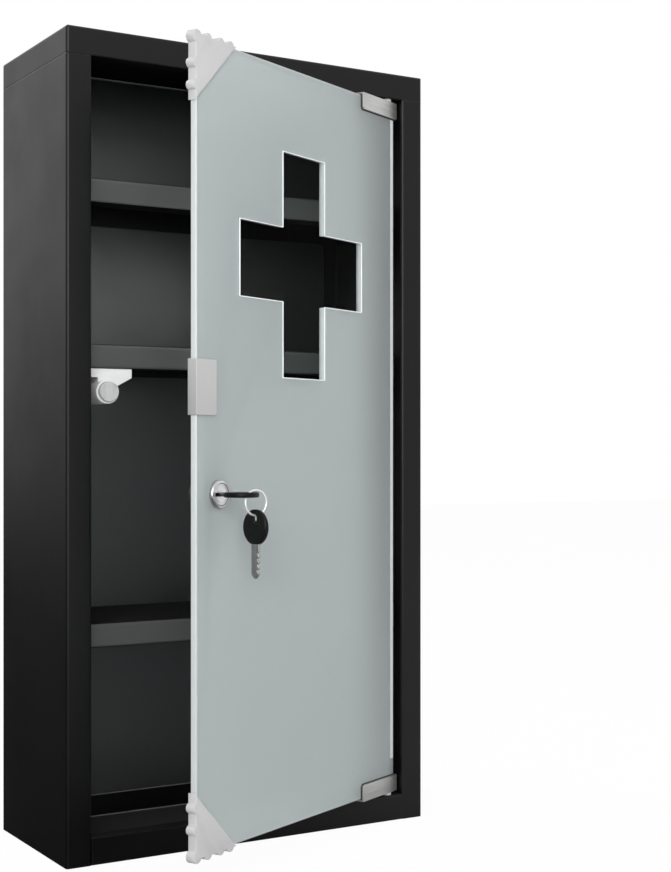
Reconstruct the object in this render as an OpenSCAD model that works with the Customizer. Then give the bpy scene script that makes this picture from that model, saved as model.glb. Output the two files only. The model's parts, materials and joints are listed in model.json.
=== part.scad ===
/* [Cabinet] */
// Overall width
cab_w = 300; // [270:1:400]
// Overall depth from the front face to the back face
cab_d = 140; // [125:1:220]
// Overall height
cab_h = 600; // [590:1:700]
// Thickness of the steel sheet
sheet_t = 1.2; // [0.8:0.1:1.6]
// Inner radius of the folded edges
fold_in = 0.8; // [0.5:0.1:1.5]
// Width of the front stiles beside the door
stile_w = 19; // [16:0.5:30]
// Height of the front rails above and below the door
rail_h = 20; // [18:0.5:30]
// Depth of the fold that turns inwards behind stiles and rails
return_d = 12; // [12:0.5:14]
// Width of the flange that turns in at the rear corners
rear_lip = 14; // [10:0.5:25]
// Height of the upstand round the floor
upstand_h = 19; // [12:0.5:30]
// Diameter of the wall fixing holes
wall_hole_d = 7; // [4:0.5:9]
// Distance between the wall holes across the back
wall_hole_dx = 220; // [120:1:235]
// Distance of the wall holes from the top and the underside
wall_hole_in = 30; // [27:0.5:60]

/* [Shelves] */
// Height of the top face of the upper shelf
shelf_high_z = 496; // [470:1:520]
// Height of the top face of the middle shelf
shelf_mid_z = 375; // [355:1:400]
// Height of the top face of the lower shelf
shelf_low_z = 171; // [120:1:200]
// Height of the lip along the front of a shelf
shelf_lip_h = 17.7; // [12:0.1:22]
// Distance from the cabinet front to the shelf lip
shelf_setback = 18; // [16:0.5:30]
// Depth of the fold under the shelf lip
shelf_fold = 22; // [20:0.5:30]

/* [Door] */
// Opening angle at rest
door_angle = 26.7; // [0:0.1:90]
// Gap between the glass and the frame all round
door_gap = 4.5; // [4.4:0.1:6]
// Distance from the front face of the cabinet to the middle of the glass
door_setback = 6; // [6:0.1:6.5]
// Distance from the hinge edge of the glass to the pivot
pivot_in = 6; // [5.5:0.1:8]
// Thickness of the glass
glass_t = 5; // [4:0.5:5]
// Width of the ground bevel along the outer edges of the glass
glass_bevel = 0.5; // [0.2:0.1:1]
// Overall width of the cross cut
cross_w = 157; // [100:1:180]
// Overall height of the cross cut
cross_h = 164; // [100:1:180]
// Width of each arm of the cross
cross_arm = 54; // [30:1:60]
// Distance of the middle of the cross below the top edge of the glass
cross_drop = 143.5; // [125.5:0.5:175.5]
// Thickness of the clear pane in the cross
window_t = 2; // [1:0.5:3]

/* [Hinges] */
// Length of a hinge clamp along the glass
clamp_l = 50; // [40:1:70]
// Height of a hinge clamp
clamp_h = 13; // [11:0.5:20]
// Thickness of the clamp sheet
clamp_t = 1.5; // [1:0.1:1.5]
// Thickness of the soft liner between clamp and glass
liner_t = 0.5; // [0.3:0.1:0.6]
// Radius of the rounded clamp corner
clamp_r = 2; // [1:0.5:5]
// Diameter of the hinge pin
pin_d = 3.5; // [3:0.5:4]
// Outer diameter of the bush barrel
bush_d = 5.4; // [5.2:0.1:6]
// Diameter of the bush flange
bush_flange_d = 6.8; // [6.6:0.2:8]
// Diameter of the clamp screws
clamp_screw_d = 4; // [3:0.5:5]

/* [Corner guards] */
// Length of a guard along each edge of the glass
guard_l = 41.5; // [38:0.5:60]
// Wall of the guard over the faces of the glass
guard_t = 1; // [0.8:0.1:2]
// Wall of the guard round the edge of the glass
guard_rim = 1.2; // [0.8:0.1:2]
// Radius of the bumps along the guard
bump_r = 3.4; // [2:0.1:4]
// Radius of the knob at the corner
knob_r = 4.3; // [3:0.1:6]
// How far bumps and knob stand out past the glass
bump_out = 3.9; // [2:0.1:3.9]

/* [Strike clip and catch] */
// Height of the strike clip
clip_h = 38; // [25:1:50]
// Reach of the clip over the face of the glass
clip_reach = 21; // [16:0.5:30]
// Thickness of the clip sheet
clip_t = 1; // [0.8:0.1:1.5]
// Thickness of the adhesive pad under the clip
clip_pad_t = 0.3; // [0.2:0.1:0.5]
// Outer diameter of the catch barrel
catch_d = 17.4; // [17:0.1:18]
// Distance from the free edge of the glass to the catch, with the door closed
catch_inset = 13; // [9.5:0.5:14]
// Distance from the mounting plate top to the barrel middle
catch_drop = 17.2; // [16:0.1:20]
// Width of the mounting plate
catch_plate_w = 42; // [38:1:44]
// Thickness of the mounting plate
catch_plate_t = 6.5; // [4:0.1:8]
// Length of the catch housing
catch_l = 40; // [36:1:50]
// Diameter of the plunger face
plunger_d = 14.6; // [12:0.1:14.6]
// Travel of the plunger
plunger_travel = 4; // [3:0.5:4]
// Distance between the plunger face and the closed clip
catch_clear = 0.4; // [0.2:0.1:1]
// Diameter of the spring wire
spring_wire_d = 0.9; // [0.6:0.1:1.2]
// Mean diameter of the spring
spring_mean_d = 9.6; // [7:0.2:10]
// Turns of the spring
spring_turns = 8; // [5:1:9]
// Diameter of the catch screws
catch_screw_d = 3; // [2.5:0.5:3.5]

/* [Lock] */
// Distance from the free edge of the glass to the lock
lock_inset = 24; // [20:0.5:30]
// Height of the lock
lock_z = 267.3; // [240:0.1:290]
// Diameter of the lock bezel
bezel_d = 20.3; // [19:0.1:24]
// How far the bezel stands out from the glass
bezel_out = 3; // [2:0.1:4]
// Diameter of the lock barrel
barrel_d = 16; // [15:0.5:17]
// Length of the lock barrel behind the glass
barrel_l = 12.5; // [12.5:0.5:16]
// Diameter of the plug face
plug_face_d = 15.3; // [14:0.1:17]
// Diameter of the plug body
plug_d = 12; // [11:0.5:13]
// Diameter of the nut
nut_d = 21; // [19:0.5:24]
// Thickness of the nut
nut_t = 3.4; // [2:0.1:4]
// Length of the cam from the lock axis to its end
cam_l = 35; // [34:0.5:40]
// Width of the cam
cam_w = 12; // [10:0.5:15]
// Thickness of the cam
cam_t = 2; // [1.5:0.1:2.5]

/* [Keys] */
// Radius of the round key head
head_r = 12.1; // [11:0.1:13]
// Length of the key head from its flat shoulder to its tip
head_l = 23.5; // [20:0.1:24]
// Thickness of the key head
head_t = 3.5; // [3:0.1:4]
// Diameter of the hole in the key head
head_hole_d = 6; // [5.5:0.1:6.5]
// Distance from the tip of the key head to the middle of its hole
head_hole_in = 6; // [5:0.1:7]
// Distance from the lock bezel to the shoulder of the inserted key
key_stand_off = 5.1; // [3:0.1:8]
// Length of the key blade from the shoulder to the tip
blade_l = 23.4; // [18:0.1:23.4]
// Width of the key blade
blade_w = 7.2; // [5:0.1:7.4]
// Thickness of the key blade
blade_t = 1.9; // [1.5:0.1:2.2]
// Outer diameter of the key ring
ring_od = 18.5; // [18:0.1:22]
// Diameter of the key ring wire
ring_wire_d = 1.4; // [1:0.1:1.6]
// Direction that the key ring faces, turned from the cabinet front
ring_yaw = 8.3; // [0:0.1:15]
// How far the hanging key is turned from square to the ring
spare_yaw = 4.4; // [0:0.1:8]

/* [Hidden] */
$fn = 64;

// Overshoot of a cutter past the face that it cuts
eps = 0.5;
// Clearance of a tight fit between two pieces of one assembly
fit_gap = 0.03;
// Radial clearance of a running fit
run_gap = 0.05;
// Gap between pieces that move past each other face to face
face_gap = 0.3;

half_w = cab_w / 2;
half_d = cab_d / 2;
fold_out = fold_in + sheet_t;
// Half width of the door opening
open_x = half_w - stile_w;
// Height where the side panels end and the top cap starts
seam_z = cab_h - rail_h;
// Inner faces of side walls and back
wall_x = half_w - sheet_t;
back_y = half_d - sheet_t;

glass_w = 2 * (open_x - door_gap);
glass_z0 = rail_h + door_gap;
glass_z1 = seam_z - door_gap;
glass_h = glass_z1 - glass_z0;
glass_v = glass_t / 2;
// Place of the door pivot
pivot_x = open_x - door_gap - pivot_in;
pivot_y = -half_d + door_setback;
// Distance from the pivot to the free edge of the glass
free_u = glass_w - pivot_in;
mid_u = free_u - glass_w / 2;

// The clamp wraps the glass with the liner between
clamp_v = glass_v + liner_t + clamp_t;
clamp_out = liner_t + clamp_t;
clamp_u0 = -pivot_in - clamp_out;
clamp_u1 = clamp_u0 + clamp_l;
clamp_z0 = glass_z0 - clamp_out;
clamp_screw_u = [clamp_u0 + clamp_l * 0.45, clamp_u0 + clamp_l * 0.8];
clamp_screw_z = clamp_z0 + clamp_h * 0.62;
clamp_screw_head_h = 1.2;
// The bush flange fills the gap between clamp and rail, less a running gap
bush_flange_t = door_gap - clamp_out - face_gap;
bush_bead = 0.3;
bush_top_h = sheet_t + 3;
pin_shank_d = 2.4;
pin_l = bush_flange_t + face_gap + bush_top_h - 1;

// Middle of the strike clip and of the catch, seen with the door closed
catch_top_z = shelf_mid_z - shelf_lip_h;
catch_z = catch_top_z - catch_drop;
clip_v = glass_v + clip_pad_t + clip_t;
catch_x = pivot_x - free_u + catch_inset;
plunger_y = pivot_y + clip_v + catch_clear;
catch_y0 = plunger_y + plunger_travel;
catch_wall = 0.9;
catch_bore_d = catch_d - 2 * catch_wall;
catch_step = 5;
collar_d = catch_bore_d - 2 * run_gap;
collar_t = 2.5;
collar_y = catch_y0 + catch_step + run_gap;
catch_end_y = catch_y0 + catch_l;
spring_y0 = collar_y + collar_t;
spring_y1 = catch_end_y - 2.5;
magnet_w = 3.4;
magnet_h = 8.2;
magnet_d = 5;
// Skin of the plunger over the magnet
magnet_skin = 0.5;
catch_screw_dx = catch_plate_w / 2 - 4.5;
catch_screw_y = -half_d + shelf_setback + shelf_fold * 0.55;
// Thickness of the mounting plate above the screw heads
catch_screw_set = 2;

lock_u = free_u - lock_inset;
gasket_t = 0.4;
bezel_v = glass_v + bezel_out;
barrel_v = -glass_v - barrel_l;
washer_t = 0.5;
glass_hole_d = barrel_d + 0.6;
plug_flange_t = 0.9;
// Width and depth of the chamfers on both sides of the joint round the plug face
face_groove = 0.35;
plug_recess_v = bezel_v - 1.2;
plug_end_v = barrel_v - 0.1;
cam_v = plug_end_v - cam_t;
tail_w = 6;
tail_end_v = cam_v - 0.05;
// The cam is cranked so that its end runs just behind the fold of the stile
cam_end_v = -(return_d - door_setback) - face_gap - 0.7;
wafer_t = 0.9;
wafer_count = 3;
wafer_pitch = 3;
wafer_l = 10;
wafer_h = 4.8;

key_shoulder_v = bezel_v + key_stand_off;
key_tip_v = key_shoulder_v - blade_l;
tang_l = 8;
head_tip_v = key_shoulder_v + head_l;
head_hole_v = head_tip_v - head_hole_in;
// The ring runs through the hole and round the side of the head: angle from the door to the ring plane
ring_turn = door_angle - ring_yaw;
ring_r = (ring_od - ring_wire_d) / 2;
ring_in_r = ring_od / 2 - ring_wire_d;
// Distance along the ring plane from the hole to the edge of the head
hole_mid = head_r - head_hole_in;
edge_s = sqrt(head_r * head_r - pow(hole_mid * cos(ring_turn), 2)) - hole_mid * sin(ring_turn);
bridge_half = (edge_s - head_hole_d / 2) / 2;
ring_s = head_hole_d / 2 + bridge_half;
ring_lift = 0.2;
ring_u = lock_u - ring_s * cos(ring_turn);
ring_v = head_hole_v + ring_s * sin(ring_turn);
ring_z = lock_z + head_t / 2 - sqrt(ring_in_r * ring_in_r - bridge_half * bridge_half) + ring_lift;
// The spare key hangs from the lowest point of the ring
spare_wire_z = ring_z - ring_r;
spare_hole_z = spare_wire_z + ring_wire_d / 2 + 0.35 - head_hole_d / 2;
spare_tip_z = spare_hole_z + head_hole_in;

// One quarter of a fold, its centre at the origin, towards +x and +y
module fold_2d() {
    intersection() {
        difference() {
            circle(r = fold_out);
            circle(r = fold_in);
        }
        square(fold_out);
    }
}

// Rectangle whose two upper corners are round
module round_top_2d(w, h, r) {
    translate([-w / 2, 0]) square([w, h - r]);
    translate([-w / 2 + r, 0]) square([w - 2 * r, h]);
    for (s = [-1, 1]) translate([s * (w / 2 - r), h - r]) circle(r = r);
}

// Rectangle from the origin with its corners cut off
module cut_corners_2d(w, h, c) {
    polygon([[c, 0], [w - c, 0], [w, c], [w, h - c], [w - c, h], [c, h], [0, h - c], [0, c]]);
}

// Fills an inner corner at the origin with a hollow curve, towards +x and +y
module cove_2d(r) {
    difference() {
        square(r);
        translate([r, r]) circle(r = r);
    }
}

// Cutter that rounds an outer edge, its corner at the origin
module edge_2d(r) {
    difference() {
        translate([-eps, -eps]) square(r + eps);
        translate([r, r]) circle(r = r);
    }
}

// Puts a piece drawn in door terms in its place: x runs from the pivot to the free edge, y outwards
module on_door() {
    translate([pivot_x, pivot_y, 0]) rotate([0, 0, 180 + door_angle]) children();
}

// Extrudes a profile drawn in width and height through the door from v0 to v1
module slab_v(v0, v1) {
    translate([0, v1, 0]) rotate([90, 0, 0]) linear_extrude(v1 - v0) children();
}

// Turns a piece drawn along z so that it runs outwards from the door at the lock
module on_lock() {
    translate([lock_u, 0, lock_z]) rotate([-90, 0, 0]) children();
}

module side_section() {
    translate([wall_x, -half_d + fold_out]) square([sheet_t, cab_d - fold_out]);
    translate([half_w - fold_out, -half_d + fold_out]) mirror([0, 1]) fold_2d();
    translate([open_x + fold_out, -half_d]) square([stile_w - 2 * fold_out, sheet_t]);
    translate([open_x + fold_out, -half_d + fold_out]) rotate(180) fold_2d();
    translate([open_x, -half_d + fold_out]) square([sheet_t, return_d - fold_out]);
    translate([half_w - rear_lip, back_y - sheet_t]) square([rear_lip - sheet_t, sheet_t]);
    translate([wall_x, back_y - sheet_t]) rotate(180) cove_2d(fold_in);
}

// Right-hand wall with its stile; the floor slides in behind the stile
module side_panel() {
    lap_h = 12;
    difference() {
        linear_extrude(seam_z) side_section();
        translate([0, -half_d + sheet_t, -eps]) cube([wall_x, cab_d, sheet_t + eps]);
    }
    translate([wall_x - sheet_t, -half_d + return_d + 2, seam_z - lap_h])
        cube([sheet_t, cab_d - return_d - 2 - 2 * sheet_t, lap_h + rail_h - 2 * sheet_t]);
}

module side_panel_right() {
    color("#2b2b2b") side_panel();
}

module side_panel_left() {
    color("#3a3a3a") mirror([1, 0, 0]) side_panel();
}

// Block of the cap with rounded front, side and top edges, less a margin m
module cap_block(m, r, rear) {
    intersection() {
        translate([0, half_d + rear, seam_z - eps * sign(m)]) rotate([90, 0, 0])
            linear_extrude(cab_d + rear - m) round_top_2d(cab_w - 2 * m, rail_h - m + eps * sign(m), r);
        translate([-half_w, -half_d + m, seam_z - eps * sign(m)]) rotate([90, 0, 90])
            linear_extrude(cab_w) difference() {
                square([cab_d + 2 * rear + eps, rail_h - m + eps * sign(m)]);
                translate([0, rail_h - m + eps * sign(m)]) mirror([0, 1]) edge_2d(r);
            }
        translate([0, half_d + rear, seam_z - eps]) mirror([0, 1, 0])
            linear_extrude(rail_h + eps) round_top_2d(cab_w - 2 * m, cab_d + rear - m, r);
    }
}

// Fold that turns inwards from a rail, with the hole for the hinge bush
module rail_return(z0) {
    difference() {
        translate([-open_x, -half_d + sheet_t / 2, z0]) cube([2 * open_x, return_d - sheet_t / 2, sheet_t]);
        translate([pivot_x, pivot_y, z0 - eps]) cylinder(d = bush_d + 2 * fit_gap, h = sheet_t + 2 * eps);
    }
}

module top_cap() {
    color("#333333") difference() {
        union() {
            difference() {
                cap_block(0, fold_out, 0);
                cap_block(sheet_t, fold_in, eps);
            }
            rail_return(seam_z);
        }
        translate([-open_x, -half_d, seam_z]) rotate([90, 0, 90]) linear_extrude(2 * open_x) edge_2d(fold_in);
    }
}

// Floor with a front rail and an upstand along the back and both sides; the rear upstand ends in a round hem
module bottom_pan() {
    side_l = cab_d - return_d - 2 - 3 * sheet_t;
    side_y = -half_d + return_d + 2;
    rear_x = half_w - rear_lip;
    hem_r = sheet_t / 2;
    color("#2f2f2f") difference() {
        union() {
            translate([-wall_x, -half_d + sheet_t, 0]) cube([2 * wall_x, cab_d - 2 * sheet_t, sheet_t]);
            translate([-open_x, -half_d, 0]) cube([2 * open_x, sheet_t * 2, sheet_t]);
            translate([-open_x, -half_d, 0]) cube([2 * open_x, sheet_t, rail_h]);
            rail_return(rail_h - sheet_t);
            for (s = [0, 1]) mirror([s, 0, 0]) {
                translate([wall_x - sheet_t, side_y, 0]) cube([sheet_t, side_l, upstand_h]);
                translate([wall_x - sheet_t, side_y + side_l, sheet_t]) rotate([90, 0, 0])
                    linear_extrude(side_l) mirror([1, 0]) cove_2d(fold_in);
            }
            translate([-rear_x, back_y - sheet_t, 0]) cube([2 * rear_x, sheet_t, upstand_h - hem_r]);
            translate([-rear_x, back_y - hem_r, upstand_h - hem_r]) rotate([0, 90, 0])
                cylinder(r = hem_r, h = 2 * rear_x);
            translate([-rear_x, back_y - sheet_t, sheet_t]) rotate([90, 0, 90])
                linear_extrude(2 * rear_x) mirror([1, 0]) cove_2d(fold_in);
        }
        translate([-half_w, -half_d, 0]) rotate([90, 0, 90]) linear_extrude(cab_w)
            intersection() {
                edge_2d(fold_in);
                square([sheet_t, fold_in]);
            }
        translate([-half_w, -half_d, rail_h]) rotate([90, 0, 90]) linear_extrude(cab_w)
            mirror([0, 1]) edge_2d(fold_in);
    }
}

// Back sheet with the hollow curve of its fold along the top
module back_panel() {
    roof_z = cab_h - sheet_t;
    cove_x = wall_x - sheet_t;
    color("#3d3d3d") difference() {
        union() {
            translate([-wall_x, back_y, 0]) cube([2 * wall_x, sheet_t, roof_z]);
            translate([-cove_x, back_y, roof_z]) rotate([90, 0, 90]) linear_extrude(2 * cove_x)
                rotate(180) cove_2d(sheet_t);
        }
        for (x = [-1, 1], z = [-1, 1])
            translate([x * wall_hole_dx / 2, back_y - eps, cab_h / 2 + z * (cab_h / 2 - wall_hole_in)])
                rotate([-90, 0, 0]) cylinder(d = wall_hole_d, h = sheet_t + 2 * eps);
    }
}

// Pan shelf: plate with a lip, a fold under the lip, a rear flange and a flange at each end; the rear
// corners are notched for the fold of the side wall
module shelf(top_z) {
    y0 = -half_d + shelf_setback;
    y1 = back_y - sheet_t;
    z0 = top_z - shelf_lip_h;
    end_h = 11;
    notch = fold_in + 0.4;
    difference() {
        translate([-wall_x, y0, z0]) cube([2 * wall_x, y1 - y0, shelf_lip_h]);
        for (x = [-wall_x, wall_x])
            translate([x - notch, y1 - notch, z0 - eps]) cube([2 * notch, 2 * notch, shelf_lip_h + 2 * eps]);
        translate([-half_w, y0 + sheet_t, z0 + sheet_t])
            cube([cab_w, y1 - y0 - 2 * sheet_t, shelf_lip_h - 2 * sheet_t]);
        translate([-half_w, y0 + shelf_fold, z0 - eps])
            cube([cab_w, y1 - y0 - shelf_fold - sheet_t, sheet_t + 2 * eps]);
        for (z = [0, 1])
            translate([-half_w, y0, z0 + z * shelf_lip_h]) rotate([90, 0, 90]) linear_extrude(cab_w)
                mirror([0, z]) edge_2d(fold_out);
    }
    translate([0, y0, z0]) rotate([90, 0, 90]) for (z = [0, 1])
        translate([fold_out, z * shelf_lip_h + (1 - 2 * z) * fold_out, -wall_x]) linear_extrude(2 * wall_x)
            rotate(180) mirror([0, z]) fold_2d();
    for (x = [-wall_x, wall_x - sheet_t])
        translate([x, y0 + shelf_fold + 4, top_z - end_h])
            cube([sheet_t, y1 - y0 - shelf_fold - 8, end_h - sheet_t]);
}

module shelf_top() {
    color("#474747") shelf(shelf_high_z);
}

// The middle shelf has two holes in the fold under its lip for the catch screws
module shelf_middle() {
    color("#4a4a4a") difference() {
        shelf(shelf_mid_z);
        for (s = [-1, 1])
            translate([catch_x + s * catch_screw_dx, catch_screw_y, catch_top_z - eps])
                cylinder(d = catch_screw_d + 2 * fit_gap, h = sheet_t + 2 * eps);
    }
}

module shelf_bottom() {
    color("#474747") shelf(shelf_low_z);
}

// Bush with its flange below the sheet and a snap bead above it
module bush() {
    bead_z = bush_flange_t + sheet_t + fit_gap;
    rotate_extrude() polygon([
        [pin_d / 2 + run_gap, 0],
        [bush_flange_d / 2, 0],
        [bush_flange_d / 2, bush_flange_t],
        [bush_d / 2, bush_flange_t],
        [bush_d / 2, bead_z],
        [bush_d / 2 + bush_bead, bead_z + bush_bead],
        [bush_d / 2, bead_z + 2 * bush_bead],
        [bush_d / 2, bush_flange_t + bush_top_h - 0.5],
        [bush_d / 2 - 0.5, bush_flange_t + bush_top_h],
        [pin_d / 2 + run_gap, bush_flange_t + bush_top_h]
    ]);
}

module hinge_bush_top() {
    color("#8c8c8c") translate([pivot_x, pivot_y, seam_z - bush_flange_t]) bush();
}

module hinge_bush_bottom() {
    color("#e6e6e6") translate([pivot_x, pivot_y, rail_h + bush_flange_t]) mirror([0, 0, 1]) bush();
}

// Push catch under the middle shelf, the barrel along the depth of the cabinet
module catch_at() {
    translate([catch_x, 0, catch_z]) children();
}

module catch_housing() {
    plate_half = catch_plate_w / 2;
    plate_z = catch_drop - catch_plate_t;
    plate_y = -half_d + shelf_setback + fold_out;
    plate_l = shelf_fold - fold_out;
    color("#ececec") catch_at() difference() {
        union() {
            translate([0, catch_y0, 0]) rotate([-90, 0, 0]) cylinder(d = catch_d, h = catch_l);
            translate([0, plate_y + plate_l, 0]) rotate([90, 0, 0]) linear_extrude(plate_l) polygon([
                [-plate_half, catch_drop],
                [-plate_half, plate_z],
                [-catch_d * 0.3, plate_z],
                [-catch_d * 0.3, 0],
                [catch_d * 0.45, catch_d * 0.2],
                [plate_half, plate_z],
                [plate_half, catch_drop]
            ]);
        }
        translate([0, catch_y0 - eps, 0]) rotate([-90, 0, 0])
            cylinder(d = plunger_d + 2 * run_gap, h = catch_step + 2 * eps);
        translate([0, catch_y0 + catch_step, 0]) rotate([-90, 0, 0])
            cylinder(d = catch_bore_d, h = spring_y1 - catch_y0 - catch_step);
        for (s = [-1, 1]) translate([s * catch_screw_dx, catch_screw_y, 0]) {
            cylinder(d = catch_screw_d * 2 + 0.6, h = catch_drop - catch_screw_set);
            cylinder(d = catch_screw_d + 2 * fit_gap, h = catch_drop + eps);
        }
    }
}

// Two screws up through the mounting plate into the fold of the shelf
module catch_screws() {
    head_h = 2;
    head_z = catch_drop - catch_screw_set;
    color("#b8bcc0") catch_at() for (s = [-1, 1])
        translate([s * catch_screw_dx, catch_screw_y, 0]) difference() {
            union() {
                translate([0, 0, head_z - head_h])
                    cylinder(d1 = catch_screw_d * 1.5, d2 = catch_screw_d * 2, h = head_h);
                translate([0, 0, head_z])
                    cylinder(d = catch_screw_d, h = catch_drop - head_z + sheet_t + 1.5);
            }
            translate([0, 0, head_z - head_h]) cube([catch_screw_d * 1.1, 0.6, 1.6], center = true);
            translate([0, 0, head_z - head_h]) cube([0.6, catch_screw_d * 1.1, 1.6], center = true);
        }
}

// Plunger with a collar that stops behind the step of the housing; two crescents beside the rib on its face
module catch_plunger() {
    rim = 1.3;
    rib_w = 5.8;
    crescent_depth = 1;
    plunger_l = collar_y + collar_t - plunger_y;
    color("#dedede") catch_at() difference() {
        translate([0, plunger_y, 0]) rotate([-90, 0, 0]) {
            cylinder(d1 = plunger_d - 0.8, d2 = plunger_d, h = 0.4);
            translate([0, 0, 0.4]) cylinder(d = plunger_d, h = plunger_l - 0.4);
            translate([0, 0, plunger_l - collar_t]) cylinder(d = collar_d, h = collar_t);
        }
        translate([0, plunger_y + crescent_depth, 0]) rotate([90, 0, 0])
            linear_extrude(crescent_depth + eps) difference() {
                circle(r = plunger_d / 2 - rim);
                square([rib_w, plunger_d], center = true);
            }
        translate([-magnet_w / 2 - fit_gap, plunger_y + magnet_skin, -magnet_h / 2 - fit_gap])
            cube([magnet_w + 2 * fit_gap, plunger_l, magnet_h + 2 * fit_gap]);
    }
}

// Magnet let into the plunger from behind
module catch_magnet() {
    color("#6a6d70") catch_at() translate([-magnet_w / 2, plunger_y + magnet_skin + fit_gap, -magnet_h / 2])
        cube([magnet_w, magnet_d, magnet_h]);
}

// Point of the spring's middle line, a is the angle wound so far
function coil_point(a, r, y0, y1, turns) = [r * cos(a), y0 + (y1 - y0) * a / (360 * turns), r * sin(a)];

// Compression spring swept as one tube along its helix
module catch_spring() {
    steps_turn = 12;
    sides = 6;
    r = spring_mean_d / 2;
    w = spring_wire_d / 2;
    y0 = spring_y0 + w + 0.1;
    y1 = spring_y1 - w - 0.1;
    n = spring_turns * steps_turn;
    points = [for (i = [0:n], k = [0:sides - 1])
        let (a = i * 360 / steps_turn, b = k * 360 / sides, rr = r + w * cos(b))
        coil_point(a, rr, y0, y1, spring_turns) + [0, w * sin(b), 0]];
    walls = [for (i = [0:n - 1], k = [0:sides - 1], t = [0, 1])
        let (a = i * sides + k, b = i * sides + (k + 1) % sides)
        t == 0 ? [a, b, a + sides] : [b, b + sides, a + sides]];
    caps = [for (k = [1:sides - 2], t = [0, 1])
        t == 0 ? [0, k + 1, k] : [n * sides, n * sides + k, n * sides + k + 1]];
    color("#a9adb0") catch_at() polyhedron(points = points, faces = concat(walls, caps));
}

module cross_2d() {
    translate([mid_u, glass_z1 - cross_drop]) {
        square([cross_w, cross_arm], center = true);
        square([cross_arm, cross_h], center = true);
    }
}

// Pane with bevelled outer edges, cut through for the cross and the lock
module door_glass() {
    color([0.66, 0.69, 0.69, 0.9]) on_door() difference() {
        translate([-pivot_in, -glass_v, glass_z0]) intersection() {
            linear_extrude(glass_h) cut_corners_2d(glass_w, glass_t, glass_bevel);
            rotate([90, 0, 90]) linear_extrude(glass_w) cut_corners_2d(glass_t, glass_h, glass_bevel);
        }
        slab_v(-glass_v - eps, glass_v + eps) cross_2d();
        on_lock() translate([0, 0, -glass_t]) cylinder(d = glass_hole_d, h = 2 * glass_t);
    }
}

// Clear pane bonded into the cross at the inner face of the glass
module cross_window() {
    color([0.8, 0.85, 0.85, 0.25]) on_door() slab_v(-glass_v, -glass_v + window_t) cross_2d();
}

// Mirrors a piece of the lower hinge to the upper one
module to_top() {
    translate([0, 0, rail_h + seam_z]) mirror([0, 0, 1]) children();
}

// Channel that wraps the lower corner of the glass at the pivot
module hinge_clamp() {
    in_v = glass_v + liner_t;
    in_z = clamp_z0 + clamp_t;
    difference() {
        slab_v(-clamp_v, clamp_v) difference() {
            translate([clamp_u0, clamp_z0]) square([clamp_l, clamp_h]);
            translate([clamp_u1, clamp_z0 + clamp_h]) rotate(180) edge_2d(clamp_r);
        }
        translate([clamp_u0 + clamp_t, -in_v, in_z]) cube([clamp_l, 2 * in_v, clamp_h]);
        translate([0, 0, clamp_z0 - eps]) cylinder(d = pin_shank_d + 2 * fit_gap, h = clamp_t + 2 * eps);
        for (u = clamp_screw_u) translate([u, -clamp_v - eps, clamp_screw_z]) rotate([-90, 0, 0])
            cylinder(d = clamp_screw_d + 2 * fit_gap, h = clamp_t + 2 * eps);
    }
}

module hinge_clamp_top() {
    color("#9a9a98") on_door() to_top() hinge_clamp();
}

module hinge_clamp_bottom() {
    color("#9a9a98") on_door() hinge_clamp();
}

// Soft liner between the channel and the glass, a little larger than the channel
module clamp_liner() {
    in_v = glass_v + liner_t;
    show = 0.8;
    difference() {
        slab_v(-in_v, in_v) difference() {
            translate([clamp_u0 + clamp_t, clamp_z0 + clamp_t])
                square([clamp_l - clamp_t + show, clamp_h - clamp_t + show]);
            translate([clamp_u1 + show, clamp_z0 + clamp_h + show]) rotate(180) edge_2d(clamp_r + show);
        }
        translate([-pivot_in, -glass_v, glass_z0]) cube([clamp_l + show, glass_t, clamp_h + show]);
    }
}

module clamp_liner_top() {
    color("#1c1c1c") on_door() to_top() clamp_liner();
}

module clamp_liner_bottom() {
    color("#1c1c1c") on_door() clamp_liner();
}

// Socket screws in the inner wall of the channel, with their heads inside the cabinet
module clamp_screws() {
    for (u = clamp_screw_u) translate([u, 0, clamp_screw_z]) rotate([90, 0, 0]) difference() {
        union() {
            translate([0, 0, clamp_v]) cylinder(d = clamp_screw_d * 1.6, h = clamp_screw_head_h);
            translate([0, 0, glass_v + liner_t]) cylinder(d = clamp_screw_d, h = clamp_t);
        }
        translate([0, 0, clamp_v]) cylinder(d = clamp_screw_d * 0.55, h = clamp_screw_head_h + eps, $fn = 6);
    }
}

module clamp_screws_top() {
    color("#c9cbcc") on_door() to_top() clamp_screws();
}

module clamp_screws_bottom() {
    color("#c9cbcc") on_door() clamp_screws();
}

// Shouldered pin riveted into the channel, its free end in the bush
module hinge_pin() {
    translate([0, 0, clamp_z0]) mirror([0, 0, 1]) rotate_extrude() polygon([
        [0, -clamp_t],
        [pin_shank_d / 2, -clamp_t],
        [pin_shank_d / 2, 0],
        [pin_d / 2, 0],
        [pin_d / 2, pin_l - 0.6],
        [pin_d / 2 - 0.6, pin_l],
        [0, pin_l]
    ]);
}

module hinge_pin_top() {
    color("#c4c6c8") on_door() to_top() hinge_pin();
}

module hinge_pin_bottom() {
    color("#c4c6c8") on_door() hinge_pin();
}

// Outline of a guard in the lower corner of the glass, the corner at the origin, the glass towards +x and +y
module guard_2d() {
    guard_tail = 2;
    polygon([
        [-guard_rim, -guard_rim],
        [guard_l + guard_tail, -guard_rim],
        [guard_l, 0],
        [0, guard_l],
        [-guard_rim, guard_l + guard_tail]
    ]);
    for (s = [0.3, 0.63, 0.89]) translate([s * guard_l, bump_r - bump_out]) circle(r = bump_r);
    for (s = [0.44, 0.8]) translate([bump_r - bump_out, s * guard_l]) circle(r = bump_r);
    translate([knob_r - bump_out, knob_r - bump_out]) circle(r = knob_r);
}

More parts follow.
